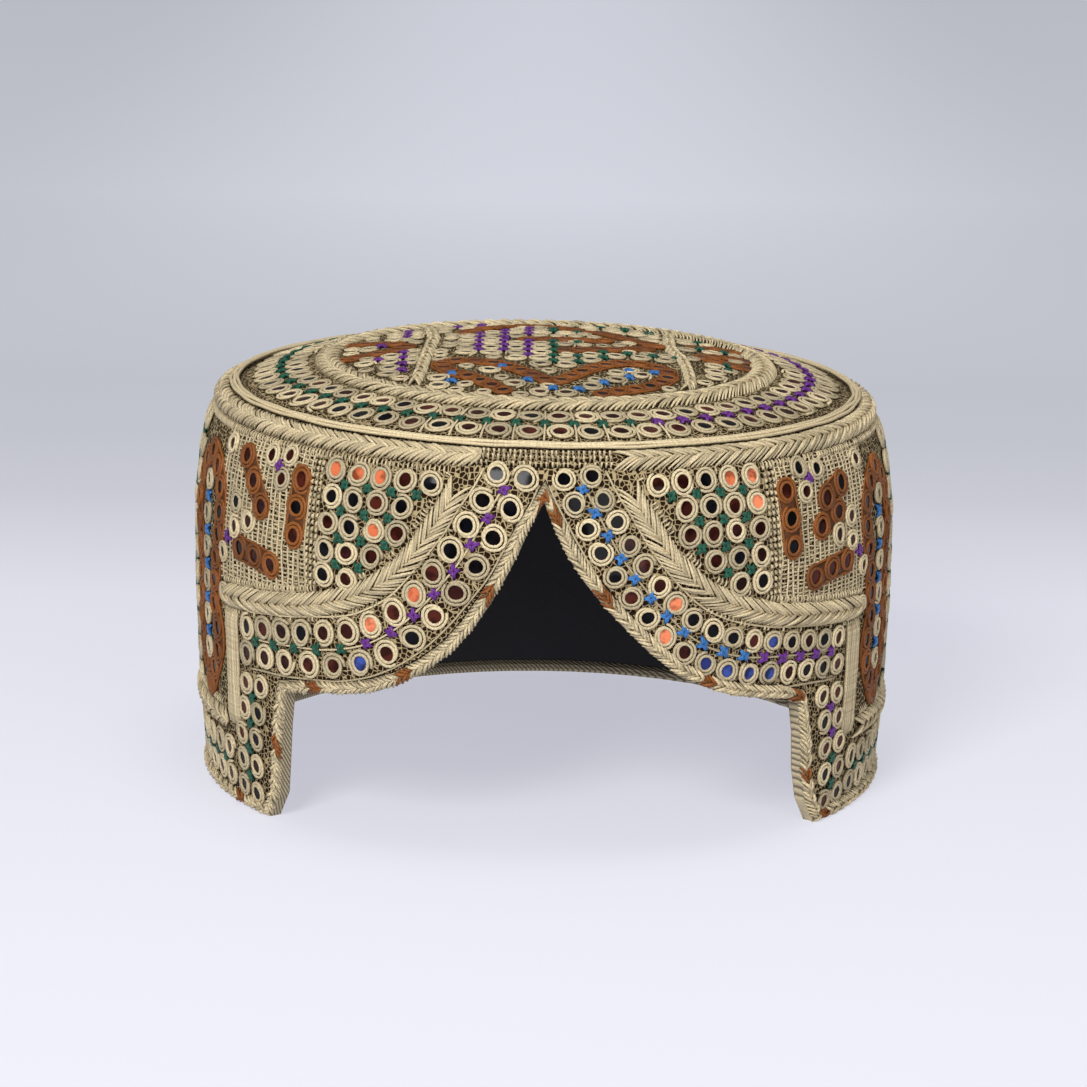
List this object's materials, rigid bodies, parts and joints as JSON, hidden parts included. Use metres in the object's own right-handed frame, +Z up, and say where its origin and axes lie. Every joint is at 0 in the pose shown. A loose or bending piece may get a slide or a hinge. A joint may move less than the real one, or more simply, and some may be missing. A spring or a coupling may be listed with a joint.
{
  "type": "sindhi cap",
  "caption": "Stiff round cap with an arched front opening, a low domed top, a black lining and mirror embroidery with braided edging.",
  "frame": {"origin": "middle of the bounding box's footprint, on the surface that the rim rests on", "axes": "+Z up through the top of the cap, -Y to the front with the arched opening, +X to the right as seen from the front (the wearer's left)"},
  "size_m": [0.1704, 0.175, 0.1042],
  "materials": {
    "mirror_embroidery": "matte",
    "black_lining": "matte",
    "wheat_braid": "satin",
    "gold_cord": "satin"
  },
  "bodies": {
    "root": {"wall": "mirror_embroidery", "crown": "mirror_embroidery", "lining": "black_lining", "rim_binding": "wheat_braid", "shoulder_braid": "wheat_braid", "crown_cord": "gold_cord", "crown_braid": "wheat_braid", "lower_braid": "wheat_braid", "panel_braid_left": "wheat_braid", "panel_braid_right": "wheat_braid", "side_bar_left": "gold_cord", "side_bar_right": "gold_cord"}
  },
  "joints": []
}
